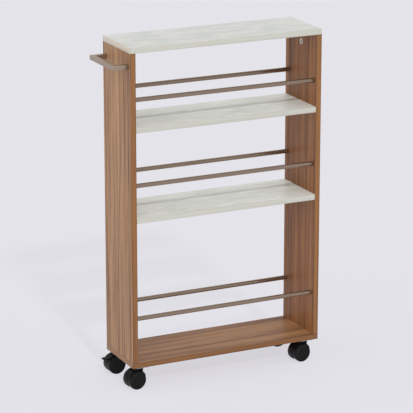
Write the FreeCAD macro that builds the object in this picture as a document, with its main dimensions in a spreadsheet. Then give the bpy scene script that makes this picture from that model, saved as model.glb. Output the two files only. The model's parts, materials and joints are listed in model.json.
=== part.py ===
import FreeCAD, Part

import os

import Sketcher
from FreeCAD import Vector

# A slim wheeled kitchen trolley: two upright side panels carry a top board, two shelves
# and a bottom board, with six round guard rails, a bar handle and four twin-wheel casters.
# Millimetres, +X along the length, +Y to the back, +Z up. The origin is on the floor,
# half-way from front to back and half-way from the handle's bar to the right panel's face.

SIZES = [
    # carcass
    ("body_width", 553.0),        # outer faces of the side panels
    ("body_depth", 175.0),
    ("body_height", 865.0),       # underside of the bottom board to the top of the top board
    ("board", 15.0),              # board thickness
    ("edging", 1.0),              # thickness of the edging strips
    ("upper_bay", 195.0),         # clear height between the upper shelf and the top board
    ("middle_bay", 227.0),        # between the two shelves; the lower bay is what is left
    # guard rails
    ("rail_od", 12.0),
    ("rail_inset", 16.0),         # rail centre from the front or back face
    ("rail_seat", 8.0),           # depth of a rail's blind socket
    ("rail_end_gap", 0.2),
    ("rail_rise_upper", 70.0),    # rail centre above the board under it
    ("rail_rise_middle", 83.0),
    ("rail_rise_lower", 118.0),
    # handle
    ("handle_bar", 12.0),         # side of the square bar
    ("handle_reach", 44.0),       # bar's outer face from the panel
    ("handle_inset", 13.0),       # leg's outer side from the front or back face
    ("handle_drop", 51.0),        # bar's centre below the top
    ("handle_corner", 2.5),
    ("handle_screw_d", 4.0),
    ("handle_screw_grip", 10.0),  # length of the screw inside the leg
    ("handle_head_d", 8.0),
    ("handle_head_height", 2.4),
    # cams, bolts, dowels and screws between the boards
    ("cam_od", 15.0),
    ("cam_floor", 2.5),           # board left behind a cam
    ("cam_setback", 34.0),        # cam's centre from the joint
    ("cam_slot_width", 7.4),
    ("bolt_grip", 10.0),          # length of a cam bolt in the other board's face
    ("bolt_shank_d", 6.0),
    ("bolt_neck_d", 4.2),
    ("bolt_neck_length", 5.0),
    ("bolt_head_d", 6.8),
    ("bolt_head_height", 3.0),
    ("dowel_d", 8.0),
    ("dowel_in_face", 9.5),       # length of a dowel in the face of a board
    ("dowel_in_end", 20.0),       # length in the end of the other board
    ("dowel_inset", 39.5),        # dowels and screws from the front or back face
    ("foot_dowel_inset", 17.5),
    ("foot_screw_inset", 53.5),
    ("foot_screw_d", 7.0),
    ("foot_screw_length", 50.0),
    ("foot_screw_head_d", 10.0),
    ("foot_screw_head_height", 2.0),
    ("fit_gap", 0.05),            # radial gap of what is fixed in a hole
    # casters
    ("caster_headroom", 10.0),    # board's underside above the wheels
    ("stem_inset_x", 30.0),       # swivel axis from the panel's outer face
    ("stem_inset_y", 22.0),       # swivel axis from the front or back face
    ("trail", 17.5),              # axle behind the swivel axis
    ("wheel_d", 50.0),
    ("caster_width", 38.0),
    ("wheel_gap", 16.0),          # between a caster's two wheels
    ("wheel_chamfer", 1.6),
    ("axle_d", 6.0),
    ("axle_cap", 1.5),            # wall over the end of the axle
    ("run_gap", 0.05),            # radial running gap of wheels, swivels and levers
    ("side_gap", 0.3),            # between pieces that turn past each other
    ("plate_side", 38.0),
    ("plate_thickness", 2.0),
    ("plate_corner", 5.0),
    ("plate_pitch", 28.0),
    ("plate_screw_d", 3.5),
    ("plate_screw_length", 14.0),
    ("plate_screw_proud", 2.0),   # height of its head, which is as slim as its shank here
    ("race_d", 17.0),             # raised race that the housing turns under
    ("race_height", 1.0),
    ("kingpin_d", 8.0),
    ("kingpin_length", 24.0),
    ("socket_floor_gap", 0.3),
    ("neck_d", 16.4),
    ("neck_drop", 10.5),          # neck's lower end under the board
    ("barrel_drop", 31.0),        # barrel's lower end under the board
    ("boss_d", 14.0),
    ("hood_gap", 1.0),            # hood clear of the tread
    ("hood_thickness", 2.0),
    ("hood_width", 30.0),
    ("hood_web", 4.0),
    ("hood_front", 20.0),         # angles about the axle, from straight ahead over the top
    ("hood_rear", 152.0),
    ("hood_rear_braked", 112.0),
    ("web_rear_braked", 100.0),
    # brake levers
    ("lever_pivot_inset", 2.8),   # pivot inside the tread's radius
    ("lever_pivot_angle", 126.0),
    ("lever_pin_d", 3.0),
    ("lever_eye_d", 6.4),
    ("lever_eye_width", 8.8),
    ("lever_neck", 4.0),
    ("ear_root", 80.0),
    ("ear_slot", 108.0),
    ("lever_shell_gap", 2.2),     # pedal's shell clear of the tread
    ("lever_shell_thickness", 1.8),
    ("lever_shell_width", 26.0),
    ("lever_shell_front", 115.0),
    ("lever_shell_rear", 139.0),
    ("lever_tab_length", 15.0),
    ("lever_tab_width", 20.0),
    ("lever_tab_thickness", 2.4),
    ("lever_tab_slope", 7.0),
    ("lever_tab_root", 2.0),
    ("shoe_gap", 1.4),            # brake shoes clear of the treads when released
    ("shoe_front", 133.0),
    ("shoe_width", 3.0),
    # swivel angles of the casters as they stand in the photograph
    ("swivel_front_left", 8.0),
    ("swivel_front_right", 7.0),
    ("swivel_rear_left", 2.0),
    ("swivel_rear_right", -8.0),
]

doc = FreeCAD.newDocument("SlimTrolley")
sheet = doc.addObject("Spreadsheet::Sheet", "Sizes")
for row, (alias, value) in enumerate(SIZES, start=1):
    sheet.set(f"A{row}", alias)
    sheet.set(f"B{row}", str(value))
    sheet.setAlias(f"B{row}", alias)
doc.recompute()

kept = []


# ---------------------------------------------------------------- helpers


def frame(x="0", y="0", z="0", turn="rotationz(0)"):
    """A placement as an expression on the sheet."""
    return f"placement(vector({x}; {y}; {z}); {turn})"


ROW = frame()                     # the trolley's own frame
SIDES = 12                        # sides of a pin, cam or socket that is nearly round
TO_RIGHT = "rotationy(90)"        # these turn a bar's +Z to another axis
TO_LEFT = "rotationy(-90)"
TO_BACK = "rotationx(-90)"


def keep(piece, label):
    """Label a finished piece with the name of its file."""
    piece.Label = label
    kept.append(piece)
    return piece


def put(piece, where, x, y, z, turn="rotationz(0)"):
    """Bind a piece's placement to a frame and a place in it."""
    piece.setExpression("Placement", f"{where} * {frame(x, y, z, turn)}")
    return piece


def block(where, x, y, z, length, width, height):
    """A box from its low corner."""
    piece = put(doc.addObject("Part::Box", "block"), where, x, y, z)
    piece.setExpression("Length", length)
    piece.setExpression("Width", width)
    piece.setExpression("Height", height)
    return piece


def rod(where, x, y, z, diameter, length, turn="rotationz(0)"):
    """A round bar from the centre of its first end."""
    piece = put(doc.addObject("Part::Cylinder", "rod"), where, x, y, z, turn)
    piece.setExpression("Radius", f"({diameter}) / 2")
    piece.setExpression("Height", length)
    return piece


def peg(where, x, y, z, diameter, length, turn="rotationz(0)", sides=6):
    """A small or hidden pin, screw, dowel or cam, or its hole, drawn with a few flat sides."""
    piece = put(doc.addObject("Part::Prism", "peg"), where, x, y, z, turn)
    piece.Polygon = sides
    piece.setExpression("Circumradius", f"({diameter}) / 2")
    piece.setExpression("Height", length)
    return piece


def sector(where, radius, width, first, last):
    """A slice of a disc about a frame's Z axis, between two angles from its X axis."""
    piece = put(doc.addObject("Part::Cylinder", "sector"), where,
                "0", "0", f"-({width}) / 2", f"rotationz({first})")
    piece.setExpression("Radius", radius)
    piece.setExpression("Height", width)
    piece.setExpression("Angle", f"({last}) - ({first})")
    return piece


def fuse(pieces):
    """Several solids made one."""
    piece = doc.addObject("Part::MultiFuse", "fuse")
    piece.Shapes = pieces
    piece.Refine = True
    return piece


def cut(base, tools):
    """A solid with tools taken out of it."""
    piece = doc.addObject("Part::Cut", "cut")
    piece.Base = base
    piece.Tool = tools[0] if len(tools) == 1 else fuse(tools)
    piece.Refine = True
    return piece


def group(pieces):
    """Separate solids that share one node."""
    piece = doc.addObject("Part::Compound", "group")
    piece.Links = pieces
    return piece


def eased(kind, base, size, chosen):
    """A solid with the chosen edges rounded by a Fillet or cut off by a Chamfer."""
    doc.recompute()
    amount = sheet.get(size)
    piece = doc.addObject(f"Part::{kind}", "eased")
    piece.Base = base
    edges = enumerate(base.Shape.Edges, start=1)
    piece.Edges = [(number, amount, amount) for number, edge in edges if chosen(edge)]
    return piece


def is_upright(edge):
    """Whether an edge is a straight vertical one."""
    along = edge.Vertexes[-1].Point - edge.Vertexes[0].Point
    return abs(along.z) > 1e-6 and abs(along.x) + abs(along.y) < 1e-6


def hole(diameter):
    """The diameter of the hole for a pin, dowel or screw that is fixed in it."""
    return f"{diameter} + 2 * Sizes.fit_gap"


def running_hole(diameter):
    """The diameter of the hole that turns on a pin."""
    return f"{diameter} + 2 * Sizes.run_gap"


# ---------------------------------------------------------------- shared places

LEFT = "((Sizes.handle_reach - Sizes.body_width) / 2)"
RIGHT = "((Sizes.handle_reach + Sizes.body_width) / 2)"
LEFT_INNER = f"({LEFT} + Sizes.board)"
RIGHT_INNER = f"({RIGHT} - Sizes.board)"
LEFT_PANEL = f"({LEFT} + Sizes.board / 2)"
RIGHT_PANEL = f"({RIGHT} - Sizes.board / 2)"
CLEAR_WIDTH = "(Sizes.body_width - 2 * Sizes.board)"
FRONT = "(-Sizes.body_depth / 2)"
BACK = "(Sizes.body_depth / 2)"
CORE_DEPTH = "(Sizes.body_depth - 2 * Sizes.edging)"
UNDER = "(Sizes.wheel_d + Sizes.caster_headroom)"
TOP = f"({UNDER} + Sizes.body_height)"
PANEL_TOP = f"({TOP} - Sizes.board)"
PANEL_FOOT = f"({UNDER} + Sizes.board)"
UPPER_SHELF = f"({PANEL_TOP} - Sizes.upper_bay)"
LOWER_SHELF = f"({UPPER_SHELF} - Sizes.board - Sizes.middle_bay)"
CAM_DEPTH = "(Sizes.board - Sizes.cam_floor)"

holes = {"left_side_panel": [], "right_side_panel": [], "top_board": [], "upper_shelf": [],
         "lower_shelf": [], "bottom_board": []}
dowels, cams, cam_bolts, foot_screws = [], [], [], []


# ---------------------------------------------------------------- joints between boards
# A joint's frame lies on the plane where one board's end meets another board's face.
# Its +Z goes into the end and its +X to the face on which the cam opens.


def add_dowels(joint, face_board, end_board, inset):
    """Two dowels across a joint, and their holes."""
    for sign in ("-", ""):
        y = f"{sign}({BACK} - {inset})"
        foot = "-Sizes.dowel_in_face"
        dowels.append(peg(joint, "0", y, foot, "Sizes.dowel_d",
                          "Sizes.dowel_in_face + Sizes.dowel_in_end"))
        holes[face_board].append(peg(joint, "0", y, foot, hole("Sizes.dowel_d"),
                                     "Sizes.dowel_in_face"))
        holes[end_board].append(peg(joint, "0", y, "0", hole("Sizes.dowel_d"),
                                    "Sizes.dowel_in_end"))


def add_cam(joint, face_board, end_board):
    """A cam in the end board, the bolt that it draws, and their holes."""
    shank = "(Sizes.cam_setback - Sizes.bolt_neck_length - Sizes.bolt_head_height / 2)"
    head = f"({shank} + Sizes.bolt_neck_length)"
    foot = "-Sizes.bolt_grip"
    cam_bolts.append(fuse([
        peg(joint, "0", "0", foot, "Sizes.bolt_shank_d", f"Sizes.bolt_grip + {shank}"),
        peg(joint, "0", "0", shank, "Sizes.bolt_neck_d", "Sizes.bolt_neck_length"),
        peg(joint, "0", "0", head, "Sizes.bolt_head_d", "Sizes.bolt_head_height"),
    ]))
    holes[face_board].append(peg(joint, "0", "0", foot, hole("Sizes.bolt_shank_d"),
                                 "Sizes.bolt_grip"))
    mouth = "Sizes.board / 2"
    centre = "Sizes.cam_setback"
    holes[end_board].append(peg(joint, "0", "0", "0", hole("Sizes.bolt_head_d"), centre))
    holes[end_board].append(peg(joint, mouth, "0", centre, hole("Sizes.cam_od"),
                                CAM_DEPTH, TO_LEFT, SIDES))
    disc = peg(joint, mouth, "0", centre, "Sizes.cam_od", CAM_DEPTH, TO_LEFT, SIDES)
    slot = block(joint, "-Sizes.cam_slot_width / 2", "-Sizes.cam_slot_width / 2",
                 f"{centre} - Sizes.cam_od / 2", "Sizes.cam_slot_width",
                 "Sizes.cam_slot_width", "Sizes.cam_od / 2 + Sizes.bolt_head_height")
    cams.append(cut(disc, [slot]))


# The top board lies on the panels' upper ends. The cams open on the panels' inner faces.
for panel, x, turn in (("left_side_panel", LEFT_PANEL, "rotationx(180)"),
                       ("right_side_panel", RIGHT_PANEL, "rotationy(180)")):
    top_joint = frame(x, "0", PANEL_TOP, turn)
    add_cam(top_joint, "top_board", panel)
    add_dowels(top_joint, "top_board", panel, "Sizes.dowel_inset")

# Each shelf butts against both panels. Its cams open on the underside.
for shelf, shelf_top in (("upper_shelf", UPPER_SHELF), ("lower_shelf", LOWER_SHELF)):
    for panel, x, turn in (("left_side_panel", LEFT_INNER, "rotationy(90)"),
                           ("right_side_panel", RIGHT_INNER, "rotationz(180) * rotationy(90)")):
        shelf_joint = frame(x, "0", f"{shelf_top} - Sizes.board / 2", turn)
        add_cam(shelf_joint, panel, shelf)
        add_dowels(shelf_joint, panel, shelf, "Sizes.dowel_inset")

# The panels stand on the bottom board on dowels, and two screws come up into each.
for panel, x in (("left_side_panel", LEFT_PANEL), ("right_side_panel", RIGHT_PANEL)):
    foot_joint = frame(x, "0", PANEL_FOOT)
    add_dowels(foot_joint, "bottom_board", panel, "Sizes.foot_dowel_inset")
    for sign in ("-", ""):
        y = f"{sign}({BACK} - Sizes.foot_screw_inset)"
        foot_screws.append(fuse([
            peg(foot_joint, "0", y, "-Sizes.board", "Sizes.foot_screw_d",
                "Sizes.foot_screw_length"),
            peg(foot_joint, "0", y, "-Sizes.board", "Sizes.foot_screw_head_d",
                "Sizes.foot_screw_head_height"),
        ]))
        holes["bottom_board"].append(peg(foot_joint, "0", y, "-Sizes.board",
                                         hole("Sizes.foot_screw_d"), "Sizes.board"))
        holes["bottom_board"].append(peg(foot_joint, "0", y, "-Sizes.board",
                                         hole("Sizes.foot_screw_head_d"),
                                         "Sizes.foot_screw_head_height"))
        holes[panel].append(peg(foot_joint, "0", y, "0", hole("Sizes.foot_screw_d"),
                                "Sizes.foot_screw_length - Sizes.board"))

# ---------------------------------------------------------------- guard rails

for level, z in (("upper", f"{UPPER_SHELF} + Sizes.rail_rise_upper"),
                 ("middle", f"{LOWER_SHELF} + Sizes.rail_rise_middle"),
                 ("lower", f"{PANEL_FOOT} + Sizes.rail_rise_lower")):
    for side, y in (("front", f"{FRONT} + Sizes.rail_inset"),
                    ("rear", f"{BACK} - Sizes.rail_inset")):
        grip = "(Sizes.rail_seat - Sizes.rail_end_gap)"
        start, length = f"{LEFT_INNER} - {grip}", f"{CLEAR_WIDTH} + 2 * {grip}"
        keep(rod(ROW, start, y, z, "Sizes.rail_od", length, TO_RIGHT), f"{level}_{side}_rail")
        socket = f"({hole('Sizes.rail_od')}) / cos(180deg / {SIDES})"
        holes["left_side_panel"].append(peg(ROW, LEFT_INNER, y, z, socket, "Sizes.rail_seat",
                                            TO_LEFT, SIDES))
        holes["right_side_panel"].append(peg(ROW, RIGHT_INNER, y, z, socket, "Sizes.rail_seat",
                                             TO_RIGHT, SIDES))

# ---------------------------------------------------------------- handle

HANDLE_LENGTH = "(Sizes.body_depth - 2 * Sizes.handle_inset)"
handle_frame = frame(LEFT, "0", f"{TOP} - Sizes.handle_drop")
handle_blank = block(handle_frame, "-Sizes.handle_reach", f"-{HANDLE_LENGTH} / 2",
                     "-Sizes.handle_bar / 2", "Sizes.handle_reach", HANDLE_LENGTH,
                     "Sizes.handle_bar")


def is_handle_corner(edge):
    """Whether an edge is one of the handle's two outer upright corners."""
    outer = handle_blank.Shape.BoundBox.XMin
    return is_upright(edge) and abs(edge.Vertexes[0].Point.x - outer) < 1e-6


handle_tools = [block(handle_frame, "-Sizes.handle_reach + Sizes.handle_bar",
                      f"-{HANDLE_LENGTH} / 2 + Sizes.handle_bar", "-Sizes.handle_bar / 2",
                      "Sizes.handle_reach - Sizes.handle_bar",
                      f"{HANDLE_LENGTH} - 2 * Sizes.handle_bar", "Sizes.handle_bar")]
handle_screws = []
for sign in ("-", ""):
    y = f"{sign}({HANDLE_LENGTH} - Sizes.handle_bar) / 2"
    handle_tools.append(peg(handle_frame, "-Sizes.handle_screw_grip", y, "0",
                            hole("Sizes.handle_screw_d"), "Sizes.handle_screw_grip", TO_RIGHT))
    holes["left_side_panel"].append(peg(handle_frame, "0", y, "0",
                                        hole("Sizes.handle_screw_d"), "Sizes.board", TO_RIGHT))
    handle_screws.append(fuse([
        peg(handle_frame, "-Sizes.handle_screw_grip", y, "0", "Sizes.handle_screw_d",
            "Sizes.handle_screw_grip + Sizes.board", TO_RIGHT),
        peg(handle_frame, "Sizes.board", y, "0", "Sizes.handle_head_d",
            "Sizes.handle_head_height", TO_RIGHT),
    ]))
keep(cut(eased("Fillet", handle_blank, "handle_corner", is_handle_corner), handle_tools), "handle")
keep(group(handle_screws), "handle_screws")

# ---------------------------------------------------------------- casters
# What is fixed to the board uses the stem's frame, at the board's underside. What swivels
# uses the axle's frame: +X ahead to the stem, +Y up and +Z along the axle to the front.

AXLE_TO_BOARD = "(Sizes.wheel_d / 2 + Sizes.caster_headroom)"
CORE_WIDTH = "(Sizes.wheel_gap - 2 * Sizes.side_gap)"
HOOD_INNER = "(Sizes.wheel_d / 2 + Sizes.hood_gap)"
HOOD_OUTER = "(Sizes.wheel_d / 2 + Sizes.hood_gap + Sizes.hood_thickness)"
PIVOT_R = "(Sizes.wheel_d / 2 - Sizes.lever_pivot_inset)"
PIVOT_X = f"({PIVOT_R} * cos(Sizes.lever_pivot_angle * 1deg))"
PIVOT_Y = f"({PIVOT_R} * sin(Sizes.lever_pivot_angle * 1deg))"

plate_screws = []


def add_plate(name, stem):
    """The pressed plate with its raised race, its four screws and the riveted kingpin."""
    half = "Sizes.plate_side / 2"
    blank = block(stem, f"-{half}", f"-{half}", "-Sizes.plate_thickness", "Sizes.plate_side",
                  "Sizes.plate_side", "Sizes.plate_thickness")
    race_foot = "-Sizes.plate_thickness - Sizes.race_height"
    race = rod(stem, "0", "0", race_foot, "Sizes.race_d",
               "Sizes.race_height + Sizes.plate_thickness / 2")
    tools = [peg(stem, "0", "0", race_foot, hole("Sizes.kingpin_d"),
                 "Sizes.race_height + Sizes.plate_thickness", sides=SIDES)]
    for x_sign in ("-", ""):
        for y_sign in ("-", ""):
            x, y = f"{x_sign}Sizes.plate_pitch / 2", f"{y_sign}Sizes.plate_pitch / 2"
            tools.append(peg(stem, x, y, "-Sizes.plate_thickness", hole("Sizes.plate_screw_d"),
                             "Sizes.plate_thickness"))
            screw_foot = "(-Sizes.plate_thickness - Sizes.plate_screw_proud)"
            holes["bottom_board"].append(peg(stem, x, y, "0", hole("Sizes.plate_screw_d"),
                                             f"{screw_foot} + Sizes.plate_screw_length"))
            plate_screws.append(peg(stem, x, y, screw_foot, "Sizes.plate_screw_d",
                                    "Sizes.plate_screw_length"))
    plate = eased("Chamfer", blank, "plate_corner", is_upright)
    keep(cut(fuse([plate, race]), tools), f"{name}_caster_plate")
    keep(peg(stem, "0", "0", "-Sizes.kingpin_length", "Sizes.kingpin_d",
             "Sizes.kingpin_length", sides=SIDES), f"{name}_kingpin")


def add_housing(name, axle, braked):
    """The moulded body: hood, web, axle boss and the barrel that turns on the kingpin."""
    hood_rear = "Sizes.hood_rear_braked" if braked else "Sizes.hood_rear"
    web_rear = "Sizes.web_rear_braked" if braked else "Sizes.hood_rear"
    hood = cut(sector(axle, HOOD_OUTER, "Sizes.hood_width", "Sizes.hood_front", hood_rear),
               [rod(axle, "0", "0", "-Sizes.hood_width / 2", f"2 * {HOOD_INNER}",
                    "Sizes.hood_width")])
    barrel_foot = f"({AXLE_TO_BOARD} - Sizes.barrel_drop)"
    neck_foot = f"({AXLE_TO_BOARD} - Sizes.neck_drop)"
    neck_top = (f"({AXLE_TO_BOARD} - Sizes.plate_thickness - Sizes.race_height"
                " - Sizes.side_gap)")
    solids = [
        hood,
        sector(axle, f"{HOOD_INNER} + Sizes.hood_thickness / 2", "Sizes.hood_web",
               "Sizes.hood_front", web_rear),
        rod(axle, "0", "0", f"-{CORE_WIDTH} / 2", "Sizes.boss_d", CORE_WIDTH),
        rod(axle, "Sizes.trail", barrel_foot, "0", CORE_WIDTH,
            "Sizes.barrel_drop - Sizes.neck_drop", TO_BACK),
        rod(axle, "Sizes.trail", neck_foot, "0", "Sizes.neck_d", f"{neck_top} - {neck_foot}",
            TO_BACK),
    ]
    socket_foot = f"({AXLE_TO_BOARD} - Sizes.kingpin_length - Sizes.socket_floor_gap)"
    tools = [
        rod(axle, "Sizes.trail", socket_foot, "0", running_hole("Sizes.kingpin_d"),
            f"{neck_top} - {socket_foot}", TO_BACK),
        peg(axle, "0", "0", f"-{CORE_WIDTH} / 2", hole("Sizes.axle_d"), CORE_WIDTH,
            sides=SIDES),
    ]
    if braked:
        band = cut(sector(axle, f"{PIVOT_R} + Sizes.lever_eye_d / 2", CORE_WIDTH,
                          "Sizes.ear_root", "Sizes.lever_pivot_angle"),
                   [rod(axle, "0", "0", f"-{CORE_WIDTH} / 2",
                        f"2 * {PIVOT_R} - Sizes.lever_eye_d", CORE_WIDTH)])
        solids += [band, rod(axle, PIVOT_X, PIVOT_Y, f"-{CORE_WIDTH} / 2",
                             "Sizes.lever_eye_d", CORE_WIDTH)]
        tools += [
            sector(axle, HOOD_INNER, "Sizes.lever_eye_width + 2 * Sizes.side_gap",
                   "Sizes.ear_slot", "Sizes.hood_rear"),
            peg(axle, PIVOT_X, PIVOT_Y, f"-{CORE_WIDTH} / 2", hole("Sizes.lever_pin_d"),
                CORE_WIDTH, sides=SIDES),
        ]
    keep(cut(fuse(solids), tools), f"{name}_caster_housing")


def add_axle(name, axle):
    """The steel axle, which stops just short of the closed ends of the wheels' bores."""
    reach = "(Sizes.caster_width / 2 - Sizes.axle_cap - Sizes.side_gap)"
    keep(peg(axle, "0", "0", f"-{reach}", "Sizes.axle_d", f"2 * {reach}", sides=SIDES),
         f"{name}_axle")


def closed_sketch(body, points):
    """A sketch on a body's XZ plane through points given as pairs of expressions."""
    sketch = body.newObject("Sketcher::SketchObject", "profile")
    plane = next(item for item in body.Origin.OriginFeatures if item.Role == "XZ_Plane")
    sketch.AttachmentSupport = [(plane, "")]
    sketch.MapMode = "FlatFace"
    values = [[sheet.evalExpression(value) for value in point] for point in points]
    count = len(points)
    for i, (x, y) in enumerate(values):
        next_x, next_y = values[(i + 1) % count]
        sketch.addGeometry(Part.LineSegment(Vector(x, y, 0), Vector(next_x, next_y, 0)))
    for i, (x_expression, y_expression) in enumerate(points):
        sketch.addConstraint(Sketcher.Constraint("Coincident", i, 2, (i + 1) % count, 1))
        for kind, value, expression in (("DistanceX", values[i][0], x_expression),
                                        ("DistanceY", values[i][1], y_expression)):
            number = sketch.addConstraint(Sketcher.Constraint(kind, -1, 1, i, 1, value))
            sketch.setExpression(f"Constraints[{number}]", expression)
    return sketch


def add_wheel(name, axle, sign):
    """One wheel: a disc with a chamfered tread and a blind bore for the axle."""
    body = doc.addObject("PartDesign::Body", "wheel")
    gap = "Sizes.wheel_gap / 2"
    side = "Sizes.caster_width / 2"
    radius = "Sizes.wheel_d / 2"
    bore = running_hole("Sizes.axle_d")
    outline = [
        (f"({bore}) / 2", gap),
        (radius, gap),
        (radius, f"{side} - Sizes.wheel_chamfer"),
        (f"{radius} - Sizes.wheel_chamfer", side),
        ("0", side),
        ("0", f"{side} - Sizes.axle_cap"),
        (f"({bore}) / 2", f"{side} - Sizes.axle_cap"),
    ]
    sketch = closed_sketch(body, [(x, f"{sign}({y})") for x, y in outline])
    turned = body.newObject("PartDesign::Revolution", "turned")
    turned.Profile = sketch
    turned.ReferenceAxis = (sketch, ["V_Axis"])
    turned.Angle = 360
    put(body, axle, "0", "0", "0")
    keep(body, name)


def add_lever(name, axle):
    """The brake lever with its pin: an eye, a neck, a curved shell, a foot tab and shoes."""
    shell_inner = "(Sizes.wheel_d / 2 + Sizes.lever_shell_gap)"
    shell_outer = f"({shell_inner} + Sizes.lever_shell_thickness)"
    shoe_inner = "(Sizes.wheel_d / 2 + Sizes.shoe_gap)"
    eye_half = "Sizes.lever_eye_width / 2"
    half_width = "Sizes.lever_shell_width / 2"
    shell = cut(sector(axle, shell_outer, "Sizes.lever_shell_width",
                       "Sizes.lever_shell_front", "Sizes.lever_shell_rear"),
                [rod(axle, "0", "0", f"-{half_width}", f"2 * {shell_inner}",
                     "Sizes.lever_shell_width")])
    shoe_inner_side = f"({half_width} - Sizes.shoe_width)"
    shoes = cut(sector(axle, f"{shell_inner} + Sizes.lever_shell_thickness / 2",
                       "Sizes.lever_shell_width", "Sizes.shoe_front", "Sizes.lever_shell_rear"),
                [rod(axle, "0", "0", f"-{half_width}", f"2 * {shoe_inner}",
                     "Sizes.lever_shell_width"),
                 sector(axle, shell_outer, f"2 * {shoe_inner_side}", "0", "360")])
    neck_frame = f"{axle} * {frame(PIVOT_X, PIVOT_Y, '0', 'rotationz(Sizes.lever_pivot_angle)')}"
    neck = block(neck_frame, "0", "-Sizes.lever_neck / 2", f"-{eye_half}",
                 f"{shell_inner} + Sizes.lever_shell_thickness / 2 - {PIVOT_R}",
                 "Sizes.lever_neck", "Sizes.lever_eye_width")
    tab_frame = (f"{axle} * " + frame(f"{shell_inner} * cos(Sizes.lever_shell_rear * 1deg)",
                                      f"{shell_inner} * sin(Sizes.lever_shell_rear * 1deg)",
                                      "0", "rotationz(180 + Sizes.lever_tab_slope)"))
    tab_blank = block(tab_frame, "-Sizes.lever_tab_root", "-Sizes.lever_tab_thickness",
                      "-Sizes.lever_tab_width / 2",
                      "Sizes.lever_tab_root + Sizes.lever_tab_length",
                      "Sizes.lever_tab_thickness", "Sizes.lever_tab_width")
    eye = rod(axle, PIVOT_X, PIVOT_Y, f"-{eye_half}", "Sizes.lever_eye_d",
              "Sizes.lever_eye_width")
    pin_hole = rod(axle, PIVOT_X, PIVOT_Y, f"-{eye_half}", running_hole("Sizes.lever_pin_d"),
                   "Sizes.lever_eye_width")
    keep(cut(fuse([shell, shoes, neck, tab_blank, eye]), [pin_hole]), f"{name}_brake_lever")
    keep(peg(axle, PIVOT_X, PIVOT_Y, f"-{CORE_WIDTH} / 2", "Sizes.lever_pin_d", CORE_WIDTH,
             sides=SIDES), f"{name}_lever_pin")


for end, side_x in (("left", f"({LEFT} + Sizes.stem_inset_x)"),
                    ("right", f"({RIGHT} - Sizes.stem_inset_x)")):
    for side, side_y in (("front", f"({FRONT} + Sizes.stem_inset_y)"),
                         ("rear", f"({BACK} - Sizes.stem_inset_y)")):
        corner_name = f"{side}_{end}"
        angle = f"Sizes.swivel_{corner_name}"
        axle_frame = frame(f"{side_x} - Sizes.trail * cos({angle} * 1deg)",
                           f"{side_y} - Sizes.trail * sin({angle} * 1deg)",
                           "Sizes.wheel_d / 2", f"rotationz({angle}) * rotationx(90)")
        add_plate(corner_name, frame(side_x, side_y, UNDER))
        add_housing(corner_name, axle_frame, braked=side == "rear")
        add_axle(corner_name, axle_frame)
        add_wheel(f"{corner_name}_near_wheel", axle_frame, "")
        add_wheel(f"{corner_name}_far_wheel", axle_frame, "-")
        if side == "rear":
            add_lever(corner_name, axle_frame)
keep(group(plate_screws), "caster_screws")

# ---------------------------------------------------------------- boards and edging


def add_board(name, x, z, length, height):
    """A board's core with its holes."""
    core = block(ROW, x, f"-{CORE_DEPTH} / 2", z, length, CORE_DEPTH, height)
    keep(cut(core, holes[name]), name)


def edge_strips(x, z, length, height):
    """The strips on a board's front and back edges."""
    return [block(ROW, x, y, z, length, "Sizes.edging", height)
            for y in (FRONT, f"{BACK} - Sizes.edging")]


def end_strips(z):
    """The strips on the ends of a board that runs over both panels."""
    return [block(ROW, x, f"-{CORE_DEPTH} / 2", z, "Sizes.edging", CORE_DEPTH, "Sizes.board")
            for x in (LEFT, f"{RIGHT} - Sizes.edging")]


PANEL_HEIGHT = f"({PANEL_TOP} - {PANEL_FOOT})"
for panel, x in (("left", LEFT), ("right", RIGHT_INNER)):
    add_board(f"{panel}_side_panel", x, PANEL_FOOT, "Sizes.board", PANEL_HEIGHT)
    keep(group(edge_strips(x, PANEL_FOOT, "Sizes.board", PANEL_HEIGHT)),
         f"{panel}_panel_edging")
for shelf, shelf_top in (("upper_shelf", UPPER_SHELF), ("lower_shelf", LOWER_SHELF)):
    low = f"{shelf_top} - Sizes.board"
    add_board(shelf, LEFT_INNER, low, CLEAR_WIDTH, "Sizes.board")
    keep(group(edge_strips(LEFT_INNER, low, CLEAR_WIDTH, "Sizes.board")), f"{shelf}_edging")
for name, low in (("top_board", PANEL_TOP), ("bottom_board", UNDER)):
    add_board(name, f"{LEFT} + Sizes.edging", low, "Sizes.body_width - 2 * Sizes.edging",
              "Sizes.board")
    keep(group(edge_strips(LEFT, low, "Sizes.body_width", "Sizes.board") + end_strips(low)),
         f"{name}_edging")
keep(group(dowels), "dowels")
keep(group(cams), "cam_locks")
keep(group(cam_bolts), "cam_bolts")
keep(group(foot_screws), "bottom_board_screws")

# ---------------------------------------------------------------- check and write

doc.recompute()
failed = [item.Label for item in doc.Objects
          if "Invalid" in item.State or "Error" in item.State]
unsound = [piece.Label for piece in kept if piece.Shape.isNull() or not piece.Shape.isValid()]
if failed or unsound:
    raise SystemExit(f"not built: failed {failed}, unsound {unsound}")

os.makedirs("parts", exist_ok=True)
for piece in kept:
    piece.Shape.exportStep(f"parts/{piece.Label}.step")
print(len(kept), "pieces written")
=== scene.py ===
"""The looks of a slim wheeled kitchen trolley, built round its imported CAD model.

Sizes are in millimetres in the classes and become metres where vertices are made.
"""

import json
import logging
import math
from abc import ABC, abstractmethod
from collections.abc import Callable, Iterable, Mapping, Sequence
from dataclasses import dataclass
from enum import Enum
from functools import cache

import bmesh
import bpy
from mathutils import Matrix, Vector


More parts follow.
